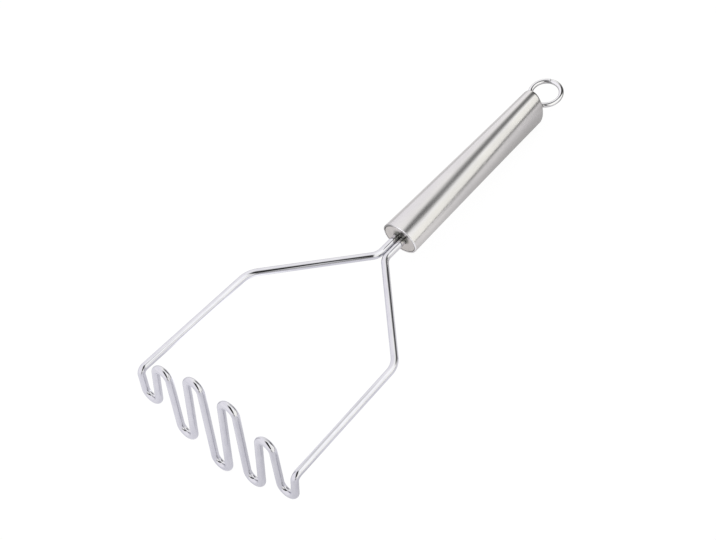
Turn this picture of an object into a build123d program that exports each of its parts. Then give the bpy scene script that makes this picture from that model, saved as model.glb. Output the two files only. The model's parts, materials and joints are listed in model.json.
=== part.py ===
from build123d import *
from math import acos, asin, atan2, cos, degrees, hypot, radians, sin
import os

# Potato masher: one bent steel wire makes both legs and the wave foot, and its two ends run into a hollow oval steel
# handle that is closed by a cap at each end. A wire ring hangs in a small eye on the rear cap.
#
# The tool is drawn with its legs in the XY plane, its handle along +Y and its foot at Y = 0, reaching down to -Z. All
# pieces are then laid down together, as the tool lies on a table: on the foot's middle turn and the handle's rear end.

# Masher wire, measured between wire centres
wire_d = 3.5
leg_gap = 0.1
wire_tail = 32.0
foot_width = 90.0
shoulder_width = 86.0
shoulder_y = 67.0
shoulder_r = 11.0
neck_y = 109.2
neck_r = 7.0
corner_r = 3.0

# Wave foot: five turns below the legs' plane and four above it
turn_pitch = 20.0
turn_r = 4.25
middle_depth = 30.7
side_depth = 24.8
outer_depth = 15.6
inner_rise = 18.5
outer_rise = 10.9
foot_lean = 5.0

# Handle tube: a round tube pressed flat one way at the front and the other way at the rear
handle_y = 122.0
handle_length = 101.2
front_width = 19.0
front_height = 15.4
rear_width = 12.4
rear_height = 21.8
tube_wall = 0.8
lip_inside_r = 0.8
lip_flat = 0.2

# Caps, behind the lips of the tube
cap_recess = 0.2
flange_t = 0.8
seat_fit = 0.05

# Stay that holds the wire inside the handle
stay_inset = 27.0
stay_t = 2.0

# Ring and the eye that it hangs in
ring_bore = 13.4
ring_d = 1.8
ring_tilt = 6.0
ring_joint_gap = 0.15
ring_joint_angle = 17.0
eye_d = 1.0
eye_gap = 0.15
eye_rise = 2.4
eye_tail = 1.2

# How far cutting tools run past the faces that they cut
overrun = 1.0

wire_x = (wire_d + leg_gap) / 2
rear_y = handle_y + handle_length
lip_r = lip_inside_r + tube_wall
lip_width = lip_r + lip_flat
pivot_y = rear_y - cap_recess + eye_rise
ring_r = (ring_bore + ring_d) / 2
eye_r = ring_d / 2 + eye_gap + eye_d / 2


def across(y):
    """The plane square to the handle at a distance y from the foot: its x is X and its y is Z."""
    return Plane.XZ.offset(-y)


def handle_oval(y, inset):
    """The handle's oval section at y, drawn smaller by an inset all round."""
    share = (y - handle_y) / handle_length
    width = front_width + share * (rear_width - front_width)
    height = front_height + share * (rear_height - front_height)
    return Ellipse(width / 2 - inset, height / 2 - inset)


# The foot's own plane: its x is X, and its y runs up the strokes, which lean away from the handle at the bottom.
foot_plane = Plane(
    origin=(0, 0, 0),
    x_dir=(1, 0, 0),
    z_dir=(0, -cos(radians(foot_lean)), sin(radians(foot_lean))),
)


def on_foot(x, height):
    return foot_plane.from_local_coords(Vector(x, height))


def stroke(start, start_r, end, end_r):
    """The straight stroke that runs from the right side of one turn's circle to the left side of the next one's."""
    run = end - start
    side = acos((start_r + end_r) / run.length)
    heading = atan2(run.Y, run.X)
    angle = heading - side if run.Y > 0 else heading + side
    normal = Vector(cos(angle), sin(angle))
    return start + normal * start_r, end - normal * end_r


# The turns from left to right: where each one's circle stands, and whether the wire passes over it or under it.
depths = [outer_depth, side_depth, middle_depth, side_depth, outer_depth]
rises = [outer_rise, inner_rise, inner_rise, outer_rise]
turns = []
for k, depth in enumerate(depths):
    middle = (len(depths) - 1) / 2
    turns.append((Vector((k - middle) * turn_pitch, turn_r - depth), -1))
    if k < len(rises):
        turns.append((Vector((k - middle + 1 / 2) * turn_pitch, rises[k] - turn_r), 1))

left_corner = Vector(-foot_width / 2, 0)
right_corner = Vector(foot_width / 2, 0)
stops = [(left_corner, 0)] + [(centre, turn_r) for centre, _ in turns] + [(right_corner, 0)]
strokes = [stroke(*a, *b) for a, b in zip(stops, stops[1:])]


def leg(side, stroke_end):
    """One leg from inside the handle to the first stroke, as points: side is -1 on the left and 1 on the right."""
    return [
        (side * wire_x, handle_y + wire_tail),
        (side * wire_x, neck_y),
        (side * shoulder_width / 2, shoulder_y),
        (side * foot_width / 2, 0),
        on_foot(stroke_end.X, stroke_end.Y),
    ]


bends = [neck_r, shoulder_r, corner_r]

with BuildPart() as masher_wire:
    with BuildLine() as route:
        FilletPolyline(*leg(-1, strokes[0][1]), radius=bends)
        for k, (centre, way) in enumerate(turns):
            arrive, leave = strokes[k][1], strokes[k + 1][0]
            ThreePointArc(
                on_foot(arrive.X, arrive.Y),
                on_foot(centre.X, centre.Y + way * turn_r),
                on_foot(leave.X, leave.Y),
            )
            if k < len(turns) - 1:
                landing = strokes[k + 1][1]
                Line(on_foot(leave.X, leave.Y), on_foot(landing.X, landing.Y))
        FilletPolyline(*reversed(leg(1, strokes[-1][0])), radius=bends[::-1])
    with BuildSketch(Plane(origin=route.line @ 0, z_dir=route.line % 0)):
        Circle(wire_d / 2)
    sweep()
masher_wire.part.label = "masher_wire"

with BuildPart() as handle_tube:
    for y in (handle_y, rear_y):
        with BuildSketch(across(y)):
            handle_oval(y, 0)
    loft(ruled=True)
    fillet(handle_tube.edges().filter_by(GeomType.ELLIPSE), lip_r)
    for y in (handle_y + tube_wall, rear_y - tube_wall):
        with BuildSketch(across(y)):
            handle_oval(y, tube_wall)
    loft(ruled=True, mode=Mode.SUBTRACT)
    fillet(handle_tube.edges(Select.LAST).filter_by(GeomType.ELLIPSE), lip_inside_r)
    for y in (handle_y, rear_y):
        with BuildSketch(across(y)):
            handle_oval(y, lip_width)
        extrude(amount=tube_wall + overrun, both=True, mode=Mode.SUBTRACT)
handle_tube.part.label = "handle_tube"

front_face_y = handle_y + cap_recess
front_flange_y = handle_y + tube_wall
with BuildPart() as front_cap:
    with BuildSketch(across(front_face_y)):
        handle_oval(handle_y, lip_width + seat_fit)
    extrude(amount=cap_recess - tube_wall)
    with BuildSketch(across(front_flange_y)):
        handle_oval(front_flange_y, lip_r + seat_fit)
    extrude(amount=-flange_t)
    with BuildSketch(across(handle_y)):
        SlotCenterToCenter(2 * wire_x, wire_d + 2 * seat_fit)
    extrude(amount=-(tube_wall + flange_t + overrun), mode=Mode.SUBTRACT)
front_cap.part.label = "front_cap"

stay_y = handle_y + stay_inset
with BuildPart() as wire_stay:
    for y in (stay_y, stay_y + stay_t):
        with BuildSketch(across(y)):
            handle_oval(y, tube_wall + seat_fit)
    loft(ruled=True)
    with BuildSketch(across(stay_y)):
        SlotCenterToCenter(2 * wire_x, wire_d + 2 * seat_fit)
    extrude(amount=stay_t + overrun, both=True, mode=Mode.SUBTRACT)
wire_stay.part.label = "wire_stay"

rear_face_y = rear_y - cap_recess
rear_flange_y = rear_y - tube_wall
with BuildPart() as rear_cap:
    with BuildSketch(across(rear_face_y)):
        handle_oval(rear_y, lip_width + seat_fit)
    extrude(amount=tube_wall - cap_recess)
    with BuildSketch(across(rear_flange_y)):
        handle_oval(rear_flange_y, lip_r + seat_fit)
    extrude(amount=flange_t)
    with BuildSketch(across(rear_y)):
        with GridLocations(0, 2 * eye_r, 1, 2):
            Circle(eye_d / 2 + seat_fit)
    extrude(amount=tube_wall + flange_t + overrun, mode=Mode.SUBTRACT)
rear_cap.part.label = "rear_cap"

eye_foot_y = rear_flange_y - flange_t - eye_tail
with BuildPart() as ring_eye:
    with BuildLine() as bow:
        Line((0, eye_foot_y, -eye_r), (0, pivot_y, -eye_r))
        ThreePointArc((0, pivot_y, -eye_r), (0, pivot_y + eye_r, 0), (0, pivot_y, eye_r))
        Line((0, pivot_y, eye_r), (0, eye_foot_y, eye_r))
    with BuildSketch(Plane(origin=bow.line @ 0, z_dir=bow.line % 0)):
        Circle(eye_d / 2)
    sweep()
ring_eye.part.label = "ring_eye"

# The ring lies in a plane through the eye's axis, tipped up a little from the handle's line. Its wire is bent round
# until its ends meet at a butt joint on the far side.
outward = Vector(0, cos(radians(ring_tilt)), sin(radians(ring_tilt)))
upward = Vector(0, -outward.Z, outward.Y)
ring_centre = Vector(0, pivot_y, 0) + outward * ring_r
to_joint = outward.rotate(Axis((0, 0, 0), upward), ring_joint_angle)
ring_gap_angle = degrees(ring_joint_gap / ring_r)
with BuildPart() as hanging_ring:
    with BuildSketch(Plane(ring_centre, x_dir=to_joint, z_dir=to_joint.cross(upward))):
        with Locations((ring_r, 0)):
            Circle(ring_d / 2)
    revolve(axis=Axis(ring_centre, upward), revolution_arc=360 - ring_gap_angle)
hanging_ring.part.label = "hanging_ring"

pieces = [masher_wire, handle_tube, front_cap, wire_stay, rear_cap, ring_eye, hanging_ring]

# Laid on the table, the tool tips until the lowest point of the foot and that of the handle's rear end are level.
foot_low = on_foot(0, -middle_depth)
rear_low = Vector(0, rear_y - lip_r, lip_r - rear_height / 2)
reach = rear_low - foot_low
tip = atan2(reach.Z, reach.Y) + asin((wire_d / 2 - lip_r) / hypot(reach.Y, reach.Z))
tipped = Rotation(-degrees(tip), 0, 0)
box = Compound([piece.part.moved(tipped) for piece in pieces]).bounding_box()
lie = Location((-(box.min.X + box.max.X) / 2, -(box.min.Y + box.max.Y) / 2, -box.min.Z)) * tipped

os.makedirs("parts", exist_ok=True)
for piece in pieces:
    label = piece.part.label
    laid = piece.part.moved(lie)
    laid.label = label
    export_step(laid, f"parts/{label}.step")
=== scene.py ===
import json
from math import acos, asin, atan2, cos, hypot, pi, radians, sin, tan

import bpy
from mathutils import Matrix, Vector


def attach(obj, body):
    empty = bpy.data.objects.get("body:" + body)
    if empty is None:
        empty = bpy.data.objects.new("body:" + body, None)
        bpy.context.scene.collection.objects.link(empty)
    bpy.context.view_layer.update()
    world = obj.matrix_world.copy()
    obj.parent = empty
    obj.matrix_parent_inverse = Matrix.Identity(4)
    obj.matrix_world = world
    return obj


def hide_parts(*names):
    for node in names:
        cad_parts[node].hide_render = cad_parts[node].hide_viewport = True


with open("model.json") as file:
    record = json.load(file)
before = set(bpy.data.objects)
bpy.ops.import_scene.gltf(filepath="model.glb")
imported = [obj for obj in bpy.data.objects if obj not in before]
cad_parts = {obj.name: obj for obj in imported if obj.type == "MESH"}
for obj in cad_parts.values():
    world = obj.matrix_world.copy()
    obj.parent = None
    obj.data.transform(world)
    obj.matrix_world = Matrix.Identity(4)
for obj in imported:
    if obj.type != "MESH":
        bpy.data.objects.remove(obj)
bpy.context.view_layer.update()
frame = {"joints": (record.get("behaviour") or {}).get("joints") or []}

# The masher wire: one length of bright round steel wire, bent cold into a foot of five low and four high
# turns. The legs, shoulders and neck run on from its outer strokes, and its ends lie side by side in the
# handle. The tool is drawn with its handle along y, and lie sets it down on its foot and the handle's end.
wire_d = 0.0035
leg_gap = 0.0001
wire_tail = 0.032
foot_width = 0.090
shoulder_width = 0.086
shoulder_y = 0.067
shoulder_r = 0.011
neck_y = 0.1092
neck_r = 0.007
corner_r = 0.003
turn_pitch = 0.020
turn_r = 0.00425
middle_depth = 0.0307
side_depth = 0.0248
outer_depth = 0.0156
inner_rise = 0.0185
outer_rise = 0.0109
foot_lean = radians(5.0)
handle_y = 0.122
handle_length = 0.1012
rear_height = 0.0218
tube_wall = 0.0008
lip_r = 0.0016
cap_recess = 0.0002
eye_rise = 0.0024

wire_x = (wire_d + leg_gap) / 2
rear_y = handle_y + handle_length
pivot_y = rear_y - cap_recess + eye_rise
foot_low = Vector((0, -middle_depth * sin(foot_lean), -middle_depth * cos(foot_lean)))
rear_low = Vector((0, rear_y - lip_r, lip_r - rear_height / 2))
reach = rear_low - foot_low
tip = atan2(reach.z, reach.y) + asin((wire_d / 2 - lip_r) / hypot(reach.y, reach.z))
pivot = Vector(frame["joints"][0]["pos_m"])
lie = Matrix.Translation(pivot) @ Matrix.Rotation(-tip, 4, "X") @ Matrix.Translation((0, -pivot_y, 0))


def on_foot(x, height):
    """A point of the foot's own plane, which leans away from the handle at the bottom."""
    return Vector((x, height * sin(foot_lean), height * cos(foot_lean)))


def stroke(start, start_r, end, end_r):
    """The straight stroke from one turn's right side to the next one's left side, in the foot's own plane."""
    run = end - start
    side = acos((start_r + end_r) / run.length)
    heading = atan2(run.y, run.x)
    angle = heading - side if run.y > 0 else heading + side
    normal = Vector((cos(angle), sin(angle)))
    return start + normal * start_r, end - normal * end_r


def rounded(corners, radii, step=radians(3)):
    """A run of points through these corners, each rounded by its radius."""
    points = [corners[0]]
    for before, corner, after, radius in zip(corners, corners[1:], corners[2:], radii):
        back, on = (before - corner).normalized(), (after - corner).normalized()
        turn = pi - back.angle(on)
        centre = corner + (back + on).normalized() * radius / cos(turn / 2)
        start = corner + back * radius * tan(turn / 2) - centre
        end = corner + on * radius * tan(turn / 2) - centre
        steps = max(2, round(turn / step))
        for k in range(steps + 1):
            share = k / steps
            part = start * sin((1 - share) * turn) + end * sin(share * turn)
            points.append(centre + part / sin(turn))
    points.append(corners[-1])
    return points


# The turns from left to right: where each one's circle stands, and whether the wire passes over or under it.
depths = [outer_depth, side_depth, middle_depth, side_depth, outer_depth]
rises = [outer_rise, inner_rise, inner_rise, outer_rise]
middle = (len(depths) - 1) / 2
turns = []
for k, depth in enumerate(depths):
    turns.append((Vector(((k - middle) * turn_pitch, turn_r - depth)), -1))
    if k < len(rises):
        turns.append((Vector(((k - middle + 1 / 2) * turn_pitch, rises[k] - turn_r)), 1))
left_corner = Vector((-foot_width / 2, 0))
right_corner = Vector((foot_width / 2, 0))
stops = [(left_corner, 0)] + [(centre, turn_r) for centre, _ in turns] + [(right_corner, 0)]
strokes = [stroke(*a, *b) for a, b in zip(stops, stops[1:])]


def leg(side, stroke_end):
    """One leg from inside the handle to its first stroke: side is -1 on the left and 1 on the right."""
    corners = [
        Vector((side * wire_x, handle_y + wire_tail, 0)),
        Vector((side * wire_x, neck_y, 0)),
        Vector((side * shoulder_width / 2, shoulder_y, 0)),
        Vector((side * foot_width / 2, 0, 0)),
        on_foot(*stroke_end),
    ]
    return rounded(corners, [neck_r, shoulder_r, corner_r])


turn_step = radians(4)
route = leg(-1, strokes[0][1])[:-1]
for k, (centre, way) in enumerate(turns):
    arrive, leave = strokes[k][1] - centre, strokes[k + 1][0] - centre
    start, end = atan2(arrive.y, arrive.x), atan2(leave.y, leave.x)
    sweep = (end - start) % (2 * pi) if way < 0 else -((start - end) % (2 * pi))
    steps = round(abs(sweep) / turn_step)
    for j in range(steps + 1):
        angle = start + sweep * j / steps
        route.append(on_foot(centre.x + turn_r * cos(angle), centre.y + turn_r * sin(angle)))
route += leg(1, strokes[-1][0])[::-1][1:]


def with_runs(points, longest):
    """The same points with more of them along the long straight runs, so that no face is a long sliver."""
    fine = [points[0]]
    for a, b in zip(points, points[1:]):
        pieces = max(1, round((b - a).length / longest))
        fine += [a.lerp(b, j / pieces) for j in range(1, pieces + 1)]
    return fine


def new_piece(name, mesh):
    piece = bpy.data.objects.new(name, mesh)
    bpy.context.scene.collection.objects.link(piece)
    return piece


def wire_mesh(name, points, diameter, sides, edge=0.1):
    """A round wire along these points, with its two ends cut square and their edges broken by a share of its
    radius. It carries two numbers for its finish: how far along the wire a point is, in metres, and its turn
    round the wire."""
    tangents = []
    for k, point in enumerate(points):
        ahead, behind = points[min(k + 1, len(points) - 1)], points[max(k - 1, 0)]
        tangents.append((ahead - behind).normalized())
    normal = tangents[0].orthogonal().normalized()
    radius = diameter / 2
    cut = edge * radius
    rings, along = [], 0.0

    def add_ring(centre, tangent, r, at):
        binormal = tangent.cross(normal)
        for s in range(sides):
            a = 2 * pi * s / sides
            rings.append((centre + (normal * cos(a) + binormal * sin(a)) * r, at, s / sides))

    add_ring(points[0], tangents[0], radius - cut, along)
    for k, point in enumerate(points):
        if k:
            along += (point - points[k - 1]).length
            normal = (normal - tangents[k] * normal.dot(tangents[k])).normalized()
        inset = tangents[k] * cut if k == 0 else tangents[k] * -cut if k == len(points) - 1 else Vector()
        add_ring(point + inset, tangents[k], radius, along)
    add_ring(points[-1], tangents[-1], radius - cut, along)

    count = len(rings) // sides
    faces = []
    for k in range(count - 1):
        for s in range(sides):
            t = (s + 1) % sides
            faces.append((k * sides + s, k * sides + t, (k + 1) * sides + t, (k + 1) * sides + s))
    faces.append(tuple(reversed(range(sides))))
    faces.append(tuple((count - 1) * sides + s for s in range(sides)))
    mesh = bpy.data.meshes.new(name)
    mesh.from_pydata([tuple(lie @ place) for place, _, _ in rings], [], faces)
    for label, values in (("along", [at for _, at, _ in rings]), ("around", [turn for _, _, turn in rings])):
        mesh.attributes.new(label, "FLOAT", "POINT").data.foreach_set("value", values)
    mesh.shade_smooth()
    mesh.set_sharp_from_angle(angle=radians(40))
    return new_piece(name, mesh)


class Link:
    """An output socket in a material. Arithmetic on it adds Math nodes, and node() adds any other node."""

    def __init__(self, tree, socket=None):
        self.tree = tree
        self.socket = socket

    def node(self, kind, settings, sockets, out=0):
        made = self.tree.nodes.new("ShaderNode" + kind)
        for name, value in settings.items():
            setattr(made, name, value)
        for name, value in sockets.items():
            if isinstance(value, Link):
                self.tree.links.new(value.socket, made.inputs[name])
            else:
                made.inputs[name].default_value = value
        return Link(self.tree, made.outputs[out])

    def maths(self, operation, *values):
        return self.node("Math", {"operation": operation}, dict(enumerate(values)))

    def __add__(self, other):
        return self.maths("ADD", self, other)

    def __radd__(self, other):
        return self.maths("ADD", other, self)

    def __sub__(self, other):
        return self.maths("SUBTRACT", self, other)

    def __rsub__(self, other):
        return self.maths("SUBTRACT", other, self)

    def __mul__(self, other):
        return self.maths("MULTIPLY", self, other)

    def __rmul__(self, other):
        return self.maths("MULTIPLY", other, self)

    def __truediv__(self, other):
        return self.maths("DIVIDE", self, other)

    def vector(self, operation, *others, out=0):
        """Vector Math on this vector and others. The answer's name is Value where it is a number."""
        return self.node("VectorMath", {"operation": operation}, dict(enumerate((self, *others))), out)

    def xyz(self):
        """The three parts of this vector."""
        return [self.node("SeparateXYZ", {}, {"Vector": self}, out=axis) for axis in "XYZ"]

    def between(self, low, high):
        """0 below low, 1 above high, and smooth between them."""
        settings = {"interpolation_type": "SMOOTHSTEP"}
        return self.node("MapRange", settings, {"Value": self, "From Min": low, "From Max": high})

    def band(self, low, rise, fall, high):
        """0 below low, 1 from rise to fall, and 0 again above high."""
        return self.between(low, rise) * (1 - self.between(fall, high))

    def noise(self, place, scale, detail=2.0, roughness=0.5):
        sockets = {"Vector": place, "Scale": scale, "Detail": detail, "Roughness": roughness}
        return self.node("TexNoise", {}, sockets)

    def blend(self, share, a, b):
        """Colour a where the share is 0 and colour b where it is 1."""
        return self.node("Mix", {"data_type": "RGBA"}, {0: share, 6: a, 7: b}, out=2)


def start_material(name):
    material = bpy.data.materials.new(name)
    material.use_nodes = True
    material.node_tree.nodes.clear()
    return material, Link(material.node_tree)


def close_material(material, shader):
    output = material.node_tree.nodes.new("ShaderNodeOutputMaterial")
    material.node_tree.links.new(shader.socket, output.inputs["Surface"])
    return material


def bare_steel(link, colour, rough, bump):
    sockets = {"Base Color": colour, "Metallic": 1.0, "Roughness": rough, "Normal": bump}
    return link.node("BsdfPrincipled", {}, sockets)


# The painted shade beside the neck's joint: where it begins, is full, thins and ends, across the neck and
# along it.
crevice_shade_across = (0.0004, 0.0007, 0.0009, 0.0014)
crevice_shade_along = (-0.014, -0.009, 0.02, 0.03)
crevice_shade_colour = (0.04, 0.04, 0.04, 1)
crevice_shade_cover = 0.85
line_stretch = 14
haze_stretch = 140


def wire_finish(name, tint, shade, gloss, drawn_lines):
    """Bright drawn wire: fine lines along its length, faint haze, and small nicks that catch the light. A dark
    line of painted shade lies on the right one of the neck's wires, beside their joint."""
    material, link = start_material(name)
    along = link.node("Attribute", {"attribute_name": "along"}, {}, out="Fac")
    around = link.node("Attribute", {"attribute_name": "around"}, {}, out="Fac")
    turn = around * (2 * pi)
    flat = {"X": link.maths("COSINE", turn), "Y": link.maths("SINE", turn)}
    lines_at = link.node("CombineXYZ", {}, {**flat, "Z": along * line_stretch})
    haze_at = link.node("CombineXYZ", {}, {**flat, "Z": along * haze_stretch})
    lines = link.noise(lines_at, scale=11, detail=4)
    haze = link.noise(haze_at, scale=1.4, detail=3)
    nicks = link.noise(haze_at, scale=9, detail=2).between(0.70, 0.76)
    colour = link.blend(haze.between(0.35, 0.7), tint, shade)
    x, y, _ = link.node("TexCoord", {}, {}, out="Object").xyz()
    # A dark line of painted shade in the crevice beside the neck's joint.
    crevice_shade = x.band(*crevice_shade_across) * y.band(*crevice_shade_along)
    colour = link.blend(crevice_shade * crevice_shade_cover, colour, crevice_shade_colour)
    rough = gloss + haze.between(0.4, 0.75) * 0.05 + lines.between(0.5, 0.8) * 0.04 + nicks * 0.12
    height = lines * drawn_lines - nicks * 0.3
    bump = link.node("Bump", {}, {"Strength": 0.12, "Distance": 0.00004, "Height": height})
    return close_material(material, bare_steel(link, colour, rough, bump))


masher_wire = wire_mesh("bent_wire", with_runs(route, longest=0.004), wire_d, sides=40)
wire_tint = (0.71, 0.71, 0.74, 1)
wire_shade = (0.66, 0.66, 0.70, 1)
masher_wire.data.materials.append(
    wire_finish("bright_wire", wire_tint, wire_shade, gloss=0.07, drawn_lines=0.5)
)
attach(masher_wire, "masher")
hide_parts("masher_wire")

# The handle: a round stainless tube, pressed to a wide oval at the wire's end and to a high one at the ring's
# end. Its front end is cut square with a rounded edge, its rear end is rolled in over the rear cap, and it is
# brushed along its length and left satin.
front_width = 0.0190
front_height = 0.0154
rear_width = 0.0124
lip_width = 0.0018
lip_edge = 0.0001
front_edge_r = 0.0005


def oval_point(y, inset, turn):
    """A point of the handle's oval at y, drawn in by an inset, in the tool's own frame."""
    share = (y - handle_y) / handle_length
    width = front_width + share * (rear_width - front_width)
    height = front_height + share * (rear_height - front_height)
    return Vector(((width / 2 - inset) * cos(turn), y, (height / 2 - inset) * sin(turn)))


def quarter(y, inset, radius, start, steps):
    """A quarter round about (y, inset), from the start angle on, as (y, inset) pairs."""
    angles = [start + pi / 2 * k / steps for k in range(steps + 1)]
    return [(y + radius * sin(a), inset - radius * cos(a)) for a in angles]


def shell_mesh(name, loops, sharp_from):
    """A closed surface from each loop of points to the next, and from the last one to the first."""
    sides = len(loops[0])
    faces = []
    for k in range(len(loops)):
        n = (k + 1) % len(loops)
        for s in range(sides):
            t = (s + 1) % sides
            faces.append((k * sides + s, n * sides + s, n * sides + t, k * sides + t))
    mesh = bpy.data.meshes.new(name)
    mesh.from_pydata([tuple(lie @ point) for loop in loops for point in loop], [], faces)
    mesh.shade_smooth()
    mesh.set_sharp_from_angle(angle=sharp_from)
    return new_piece(name, mesh)


# The wall's section, once round: the outside, the rolled rear lip, the inside and the rounded front edge.
run_steps = 60
handle_sides = 192
front_y = handle_y + front_edge_r
roll_y = rear_y - lip_r
outer_run = [front_y + (roll_y - front_y) * k / run_steps for k in range(run_steps + 1)]
inner_run = outer_run[::-6]
skin = [(y, 0) for y in outer_run]
skin += quarter(roll_y, lip_r, lip_r, start=0, steps=12)[1:]
skin += [(rear_y, lip_width - lip_edge), (rear_y - lip_edge, lip_width), (rear_y - tube_wall, lip_width)]
skin += quarter(roll_y, lip_r, lip_r - tube_wall, start=0, steps=4)[::-1]
skin += [(y, tube_wall) for y in inner_run[1:-1]]
skin += [(handle_y + lip_edge, tube_wall), (handle_y, tube_wall - lip_edge)]
skin += quarter(front_y, front_edge_r, front_edge_r, start=-pi / 2, steps=8)[:-1]
handle_loops = []
for y, inset in skin:
    handle_loops.append([oval_point(y, inset, 2 * pi * s / handle_sides) for s in range(handle_sides)])
handle = shell_mesh("oval_handle", handle_loops, sharp_from=radians(40))


def along_tool(link):
    """Where a point of the surface lies from the ring's pivot, with y along the handle."""
    place = link.node("TexCoord", {}, {}, out="Object")
    sockets = {"Vector": place, "Location": tuple(pivot), "Rotation": (-tip, 0, 0)}
    return link.node("Mapping", {"vector_type": "TEXTURE"}, sockets)


# How the brushing, the haze and the scratches are drawn out, as noise per metre in x, y and z.
brushing = (9000, 90, 9000)
hand_haze = (120, 40, 120)
scratching = (2600, 160, 2600)

# The tube's cut front end: how deep it shows, where a highlight, a shade and light are painted on it, and the
# painted colours there.
cut_depth = (0.00015, 0.0004)
highlight_right = (-0.002, 0.001)
highlight_top = (-0.003, 0.001)
shade_left = (-0.005, -0.002)
shade_top = (-0.001, 0.001)
painted_highlight_steel = (0.98, 0.98, 0.97, 1)
painted_shade_steel = (0.16, 0.16, 0.15, 1)
painted_shade_cover = 0.7
painted_light_steel = (0.95, 0.95, 0.94, 1)


def sheet_finish(name, tint, shade, gloss, grain, wear):
    """Stainless sheet: brushed lines along the handle, faint haze where it was held, and thin scratches. At
    the cut end a highlight is painted at the upper right, shade at the upper left and light at the lower left."""
    material, link = start_material(name)
    place = along_tool(link)
    lines = link.noise(place.vector("MULTIPLY", brushing), scale=1, detail=3, roughness=0.6)
    haze = link.noise(place.vector("MULTIPLY", hand_haze), scale=1, detail=3)
    scratches = link.noise(place.vector("MULTIPLY", scratching), scale=1, detail=1)
    scratches = scratches.between(0.72, 0.78)
    colour = link.blend(haze.between(0.3, 0.7), tint, shade)
    x, y, z = place.xyz()
    cut_end = 1 - (y - (handle_y - pivot_y)).between(*cut_depth)
    rim_highlight = x.between(*highlight_right) * z.between(*highlight_top)
    left = 1 - x.between(*shade_left)
    top = z.between(*shade_top)
    # Painted highlight at the cut end's upper right, painted shade at its upper left and painted light at its
    # lower left.
    colour = link.blend(cut_end * rim_highlight, colour, painted_highlight_steel)
    colour = link.blend(cut_end * (left * top * painted_shade_cover), colour, painted_shade_steel)
    colour = link.blend(cut_end * (left * (1 - top)), colour, painted_light_steel)
    rough = gloss + haze.between(0.35, 0.75) * 0.05 + lines.between(0.4, 0.8) * 0.05 + scratches * wear
    height = lines * grain + scratches * -0.4
    bump = link.node("Bump", {}, {"Strength": 0.10, "Distance": 0.00003, "Height": height})
    return close_material(material, bare_steel(link, colour, rough, bump))


handle_tint = (0.71, 0.70, 0.69, 1)
handle_shade = (0.66, 0.65, 0.65, 1)
handle.data.materials.append(
    sheet_finish("satin_steel", handle_tint, handle_shade, gloss=0.20, grain=1.0, wear=0.08)
)
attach(handle, "masher")
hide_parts("handle_tube")

# The front cap: a flat polished steel plate, let almost flush into the handle's end with a narrow groove left
# round it. The two wires pass side by side through a hole of two joined rounds, and above them the plate's
# colour is painted dark.
flange_t = 0.0008
seat_fit = 0.00005
hole_fit = 0.0002
hole_edge = 0.00012
cap_edge = 0.0001
cap_depth = 0.0001
groove_width = 0.00028
groove_depth = 0.0003
face_y = handle_y + cap_depth
back_y = handle_y + tube_wall + flange_t


def wire_hole(turn, spread):
    """A point of the hole's edge, as x and z: two rounds about the wires, which run into each other."""
    radius = wire_d / 2 + spread
    reach = (pi - acos(wire_x / radius)) / (pi / 2)
    if cos(turn) >= 0:
        turn = atan2(sin(turn), cos(turn)) * reach
        return wire_x + radius * cos(turn), radius * sin(turn)
    turn = atan2(sin(turn), -cos(turn)) * reach
    return -wire_x - radius * cos(turn), radius * sin(turn)


cap_sides = 160
cap_turns = [2 * pi * (s + 1 / 2) / cap_sides for s in range(cap_sides)]
rim = [(back_y, tube_wall + seat_fit), (face_y + groove_depth, tube_wall + seat_fit)]
rim += [(face_y + groove_depth, tube_wall + groove_width)]
edge_inset = tube_wall + groove_width + cap_edge
rim += quarter(face_y + cap_edge, edge_inset, cap_edge, start=-pi / 2, steps=3)[::-1]
hole = [(face_y, hole_fit + hole_edge), (face_y + hole_edge, hole_fit), (back_y, hole_fit)]
cap_loops = [[oval_point(y, inset, turn) for turn in cap_turns] for y, inset in rim]
for y, spread in hole:
    edge = [wire_hole(turn, spread) for turn in cap_turns]
    cap_loops.append([Vector((x, y, z)) for x, z in edge])
front_plate = shell_mesh("front_plate", cap_loops, sharp_from=radians(30))

# The painted dark patch: its middle from the ring's pivot, its reach to each side, and its edge as a share of
# that reach.
dark_patch_middle = (0.0011, handle_y - pivot_y, 0.0018)
dark_patch_reach = (0.0047, 0.1, 0.0038)
dark_patch_edge = (0.8, 1.25)
dark_patch_colour = (0.15, 0.155, 0.125, 1)
hole_depth = (0.0001, 0.0003)
plate_haze = (260, 260, 260)
wheel_marks = (700, 700, 2800)
shade_share = 0.94


def plate_finish(name, tint, gloss, darkening):
    """Polished plate: nearly a mirror, with faint swirls left by the polishing wheel. A share of dark colour
    is painted about the wires, and painted shade on the hole's wall."""
    material, link = start_material(name)
    place = along_tool(link)
    haze = link.noise(place.vector("MULTIPLY", plate_haze), scale=1, detail=3)
    swirls = link.noise(place.vector("MULTIPLY", wheel_marks), scale=1, detail=2)
    shade = tuple(shade_share * c for c in tint[:3]) + (1,)
    colour = link.blend(haze.between(0.3, 0.7), tint, shade)
    from_dark_patch = place.vector("SUBTRACT", dark_patch_middle).vector("DIVIDE", dark_patch_reach)
    from_dark_patch = from_dark_patch.vector("LENGTH", out="Value")
    near_wires = 1 - (from_dark_patch + haze * 0.3).between(*dark_patch_edge)
    _, y, _ = place.xyz()
    in_hole = (y - (face_y - pivot_y)).between(*hole_depth)
    # Painted dark about the wires, and painted shade on the hole's wall.
    darkened = darkening * link.maths("MAXIMUM", near_wires, in_hole)
    colour = link.blend(darkened, colour, dark_patch_colour)
    rough = gloss + haze.between(0.4, 0.8) * 0.05 + darkened * 0.1
    height = haze * 2 + swirls * 0.4
    bump = link.node("Bump", {}, {"Strength": 0.15, "Distance": 0.00003, "Height": height})
    return close_material(material, bare_steel(link, colour, rough, bump))


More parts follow.
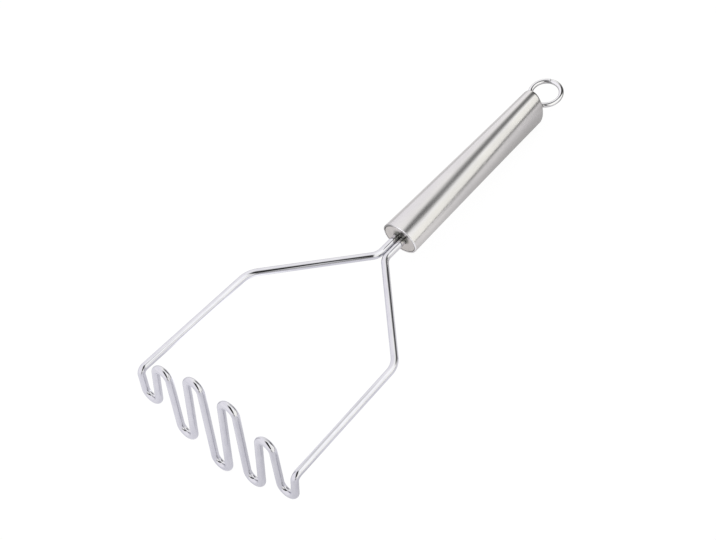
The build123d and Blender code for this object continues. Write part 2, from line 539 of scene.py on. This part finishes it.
front_plate.data.materials.append(
    plate_finish("darkened_plate", (0.66, 0.635, 0.60, 1), gloss=0.18, darkening=0.88)
)
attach(front_plate, "masher")
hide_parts("front_cap")

# The rear cap and the stay inside the handle: plain pressed plates of the same sheet, with their holes punched
# through. Both keep their solids, which have their real shape, and take the plate's finish without its painted
# dark patch.
plate_steel = plate_finish("polished_plate", (0.66, 0.65, 0.645, 1), gloss=0.18, darkening=0.0)
for node in ("rear_cap", "wire_stay"):
    for slot in bpy.data.objects[node].material_slots:
        slot.material = plate_steel

# The eye: a small staple of thin bright wire with a round bow that the ring hangs in. Its two legs are pushed
# through the rear cap, a little closer together than the bow is wide.
eye_d = 0.001
ring_d = 0.0024
ring_gap = 0.00015
eye_leg = 0.00155
eye_tail = 0.0012
eye_r = ring_d / 2 + ring_gap + eye_d / 2
eye_foot = rear_y - tube_wall - flange_t - eye_tail
bow_reach = pi - asin(eye_leg / eye_r)
bow_steps = 48
bow = [Vector((0, eye_foot, -eye_leg))]
for k in range(bow_steps + 1):
    turn = bow_reach * (2 * k / bow_steps - 1)
    bow.append(Vector((0, pivot_y + eye_r * cos(turn), eye_r * sin(turn))))
bow.append(Vector((0, eye_foot, eye_leg)))
eye = wire_mesh("eye_staple", with_runs(bow, longest=0.001), eye_d, sides=24)
ring_tint = (0.84, 0.84, 0.85, 1)
ring_shade = (0.78, 0.78, 0.80, 1)
ring_steel = wire_finish("ring_wire", ring_tint, ring_shade, gloss=0.05, drawn_lines=0.3)
eye.data.materials.append(ring_steel)
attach(eye, "masher")
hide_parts("ring_eye")

# The hanging ring: round bright wire, bent into a circle until its two ends meet, and hung in the eye, where
# it swings freely.
ring_bore = 0.0125
ring_tilt = radians(6)
joint_turn = radians(17)
joint_gap = 0.00015
ring_r = (ring_bore + ring_d) / 2
outward = Vector((0, cos(ring_tilt), sin(ring_tilt)))
upward = Vector((0, -outward.z, outward.y))
ring_centre = Vector((0, pivot_y, 0)) + outward * ring_r
to_joint = Matrix.Rotation(joint_turn, 3, upward) @ outward
across_joint = upward.cross(to_joint)
hoop_steps = 144
hoop = []
for k in range(hoop_steps + 1):
    turn = (2 * pi - joint_gap / ring_r) * k / hoop_steps
    hoop.append(ring_centre + (to_joint * cos(turn) + across_joint * sin(turn)) * ring_r)
ring = wire_mesh("wire_ring", hoop, ring_d, sides=32, edge=0.12)
ring.data.materials.append(ring_steel)
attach(ring, "ring")
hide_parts("hanging_ring")

# The floor and backdrop: plain matt white paper. It is white to the camera and keeps a soft shadow. The steel
# mirrors it with painted light and shade in an emission colour: lighter before the foot and in a patch behind
# it, a painted shadow near the handle and beside the foot, a painted dark wedge on the right and a dark patch
# at the far end.
floor_size = 6.0
half = floor_size / 2
mesh = bpy.data.meshes.new("floor")
mesh.from_pydata([(-half, -half, 0), (half, -half, 0), (half, half, 0), (-half, half, 0)], [], [(0, 1, 2, 3)])
floor = new_piece("floor", mesh)
material, link = start_material("white_paper")
paper = link.node("BsdfDiffuse", {}, {"Color": (0.95, 0.95, 0.95, 1)})
white = link.node("Emission", {}, {"Color": (1, 1, 1, 1), "Strength": 1.02})


def right_of(place, ends):
    """How far a place lies to the right of the line from one end to the other."""
    along = (ends[1] - ends[0]).normalized()
    across = (along.y, -along.x, 0)
    return place.vector("SUBTRACT", tuple(ends[0])).vector("DOT_PRODUCT", across, out="Value")


# A painted dark wedge on the right, between two lines, and a painted dark patch at the far end.
dark_wedge_near = [Vector((0.045, 0.030, 0)), Vector((0.085, 0.131, 0))]
dark_wedge_far = [Vector((0.066, 0.050, 0)), Vector((0.500, 0.435, 0))]
dark_wedge_fade = 0.012
far_dark_along, far_dark_across = (0.135, 0.165), (-0.05, -0.02)
place = link.node("NewGeometry", {}, {}, out="Position")
x, y, _ = place.xyz()
dark_wedge = right_of(place, dark_wedge_near).between(0, dark_wedge_fade) * (1 - right_of(place, dark_wedge_far).between(-dark_wedge_fade, 0))
dark_wedge = link.maths("MAXIMUM", dark_wedge, y.between(*far_dark_along) * x.between(*far_dark_across))

# The painted light and shade of the mirrored paper: where each part begins, is full, fades and ends, along the
# tool and across it, both from the middle of the tool.
front_edge = (-0.145, -0.125)
foot_strip = (-0.122, -0.112, -0.098, -0.085)
lit_along, lit_across = (-0.098, -0.085, -0.065, -0.045), (-0.055, -0.040, -0.02, 0.0)
foot_back, foot_right = (-0.10, -0.085), (-0.025, 0.055)
handle_front = (-0.04, 0.02)
left_along, left_across = (-0.05, 0.03), (-0.08, -0.04)
near_along, near_across = (-0.06, 0.08), (0, 0.04)
behind_along, behind_across = (0.112, 0.122), (-0.05, -0.03, 0.02, 0.05)
before_foot = 1 - y.between(*front_edge)
under_foot = y.band(*foot_strip)
lit = x.band(*lit_across) * y.band(*lit_along)
right_of_foot = x.between(*foot_right) * (1 - y.between(*foot_back))
under_handle = y.between(*handle_front)
left_of_handle = (1 - x.between(*left_across)) * y.between(*left_along)
near_handle = y.between(*near_along) * (1 - link.maths("ABSOLUTE", x).between(*near_across))
behind_handle = y.between(*behind_along) * x.band(*behind_across)

unlit = (0, 0, 0, 1)
left_share = 0.18 + 0.12 * y.between(0.03, 0.07)
near_share = 0.43 + 0.15 * y.between(0.03, 0.09)
# The mirrored paper's colour: painted light before the foot and in a lit patch, painted shadow under and
# beside the foot and about the handle, and the painted dark wedge.
sheet = link.blend(before_foot, (0.84, 0.83, 0.90, 1), (0.93, 0.92, 0.98, 1))
sheet = link.blend(0.16 * under_foot, sheet, unlit)
sheet = link.blend(0.20 * right_of_foot, sheet, unlit)
sheet = link.blend(lit, sheet, (1.65, 1.65, 1.68, 1))
sheet = link.blend(under_handle, sheet, (0.85, 0.83, 0.84, 1))
sheet = link.blend(left_share * left_of_handle, sheet, unlit)
sheet = link.blend(near_share * near_handle, sheet, unlit)
sheet = link.blend(0.5 * behind_handle, sheet, unlit)
dark_wedge_colour = link.blend(y.between(0.10, 0.16), (0.30, 0.30, 0.30, 1), (0.13, 0.13, 0.13, 1))
sheet = link.blend(dark_wedge, sheet, dark_wedge_colour)
mirrored = link.node("Emission", {}, {"Color": sheet, "Strength": 1.0})
mirrored = link.node("MixShader", {}, {0: 0.75 + 0.22 * dark_wedge, 1: paper, 2: mirrored})
camera_ray = link.node("LightPath", {}, {}, out="Is Camera Ray")
glossy_ray = link.node("LightPath", {}, {}, out="Is Glossy Ray")
seen = link.node("MixShader", {}, {0: camera_ray * 0.92, 1: paper, 2: white})
close_material(material, link.node("MixShader", {}, {0: glossy_ray, 1: seen, 2: mirrored}))
floor.data.materials.append(material)

# The light: a white tent all round, cooler on the left and warmer on the right, and brightest overhead. It is
# open low down towards the front and at the far end, where the dark room shows in the steel.
cool_white = (1.07, 1.05, 1.09, 1)
warm_white = (1.23, 1.22, 1.16, 1)
lamp_white = (1.32, 1.32, 1.32, 1)
warm_side = (0.8, 0.6, 0)
lamp = (0.33, 0.40, 0.86)
front_opening = (0.68, -0.73, 0.12)
far_opening = (0.08, 0.95, 0.22)
world = bpy.data.worlds.new("tent")
bpy.context.scene.world = world
world.use_nodes = True
world.node_tree.nodes.clear()
link = Link(world.node_tree)
direction = link.node("TexCoord", {}, {}, out="Generated")


def patch(towards, inner, outer):
    """1 within the inner angle of a direction, 0 past the outer one, both in degrees."""
    near = direction.vector("DOT_PRODUCT", tuple(Vector(towards).normalized()), out="Value")
    return near.between(cos(radians(outer)), cos(radians(inner)))


side = direction.vector("DOT_PRODUCT", warm_side, out="Value")
tent = link.blend(side.between(-0.5, 0.6), cool_white, warm_white)
tent = link.blend(patch(lamp, inner=8, outer=36), tent, lamp_white)
tent = link.blend(patch(front_opening, inner=4, outer=20) * 0.70, tent, unlit)
tent = link.blend(patch(far_opening, inner=10, outer=34) * 0.9, tent, unlit)
camera_ray = link.node("LightPath", {}, {}, out="Is Camera Ray")
tent = link.blend(camera_ray, tent, (1, 1, 1, 1))
background = link.node("Background", {}, {"Color": tent, "Strength": 1.0})
output = world.node_tree.nodes.new("ShaderNodeOutputWorld")
world.node_tree.links.new(background.socket, output.inputs["Surface"])


# The cards: five strips of grey card hung over the tool. The steel mirrors them as the dark bands along the
# handle and the wires. They aren't seen themselves and take no light from the paper.
def card(name, ends, widths, core, fades, grey):
    """A strip from one end to the other, with a width at each. It is dense in its core, a share of the width,
    and thins out towards its long edges and, over the two fades, towards its ends."""
    a, b = (Vector(end) for end in ends)
    along = (b - a).normalized()
    across = along.cross(Vector((0, 0, 1)))
    sides = [across * width / 2 for width in widths]
    corners = [a - sides[0], b - sides[1], b + sides[1], a + sides[0]]
    mesh = bpy.data.meshes.new(name)
    mesh.from_pydata([tuple(corner) for corner in corners], [], [(0, 1, 2, 3)])
    strip = new_piece(name, mesh)
    material, link = start_material(name)
    place = link.node("NewGeometry", {}, {}, out="Position").vector("SUBTRACT", tuple(a))
    off = place.vector("DOT_PRODUCT", tuple(across), out="Value")
    on = place.vector("DOT_PRODUCT", tuple(along), out="Value")
    length = (b - a).length
    half_width = widths[0] / 2 + on * ((widths[1] - widths[0]) / 2 / length)
    dense = 1 - (link.maths("ABSOLUTE", off) / half_width).between(core, 1)
    dense = dense * on.band(0, fades[0], length - fades[1], length)
    clear = link.node("BsdfTransparent", {}, {})
    paper = link.node("Emission", {}, {"Color": (grey, grey, grey, 1), "Strength": 1.0})
    close_material(material, link.node("MixShader", {}, {0: dense, 1: clear, 2: paper}))
    strip.data.materials.append(material)
    strip.visible_camera = False
    strip.visible_diffuse = False
    strip.visible_shadow = False


root_ends = [(0.0075, 0.0114, 0.05), (0.0066, 0.050, 0.05)]
overhead_ends = [(0.0255, 0.055, 0.10), (-0.002, 0.185, 0.10)]
far_ends = [(-0.002, 0.157, 0.099), (0.022, 0.340, 0.099)]
leg_ends = [(0.018, -0.108, 0.06), (0.018, -0.034, 0.06)]
near_side_ends = [(-0.075, 0.020, 0.30), (0.450, -0.515, 0.30)]
card("band_root", root_ends, widths=(0.0225, 0.028), core=0.1, fades=(0.002, 0.018), grey=0.16)
card("overhead_band", overhead_ends, widths=(0.087, 0.152), core=0.1, fades=(0.012, 0.01), grey=0.23)
card("far_band", far_ends, widths=(0.13, 0.20), core=0.3, fades=(0.03, 0.01), grey=0.01)
card("leg_band", leg_ends, widths=(0.05, 0.05), core=0.3, fades=(0.02, 0.02), grey=0.80)
card("near_side_band", near_side_ends, widths=(0.18, 0.38), core=0.5, fades=(0.16, 0.01), grey=0.02)

# The camera stands where the photograph was taken from, rolled a little as the tool lay.
camera_place = Vector((0.33527, -0.27164, 0.60680))
azimuth = radians(53.379)
elevation = radians(54.125)
roll = radians(-16.603)
camera = new_piece("camera", bpy.data.cameras.new("camera"))
facing = Matrix.Rotation(azimuth, 4, "Z") @ Matrix.Rotation(pi / 2 - elevation, 4, "X")
camera.matrix_world = Matrix.Translation(camera_place) @ facing @ Matrix.Rotation(roll, 4, "Z")
camera.data.sensor_width = 36.0
camera.data.lens = 81.35
bpy.context.scene.camera = camera
bpy.context.scene.view_settings.view_transform = "Standard"
